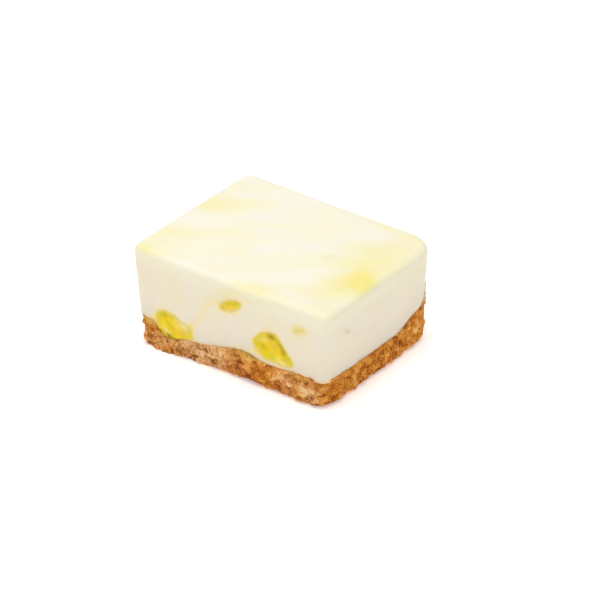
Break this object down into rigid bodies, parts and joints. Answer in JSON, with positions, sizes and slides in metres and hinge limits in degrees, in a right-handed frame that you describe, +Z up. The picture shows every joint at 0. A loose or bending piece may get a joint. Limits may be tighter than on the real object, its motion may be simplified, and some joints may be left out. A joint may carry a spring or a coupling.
{
  "type": "lemon cheesecake",
  "caption": "Hand-cut corner piece of set lemon cheesecake: a crumb base, a creamy filling with ribbons of lemon curd showing at the cut, and a smooth marbled top.",
  "frame": {"origin": "middle of the underside, at the level it stands on", "axes": "+Z up, +X along the long cut face towards the short cut face, -Y out of the long cut face; the tray's round corner is between +X and +Y"},
  "size_m": [0.0804, 0.0659, 0.0386],
  "materials": {
    "filling": "soft satin, creamy",
    "crumb": "matte, coarse biscuit crumb",
    "curd": "glossy gel"
  },
  "bodies": {
    "root": {"crumb_base": "crumb", "cheese_filling": "filling", "curd_ribbon_left": "curd", "curd_ribbon_upper": "curd", "curd_ribbon_front": "curd", "curd_ribbon_small": "curd"}
  },
  "joints": []
}
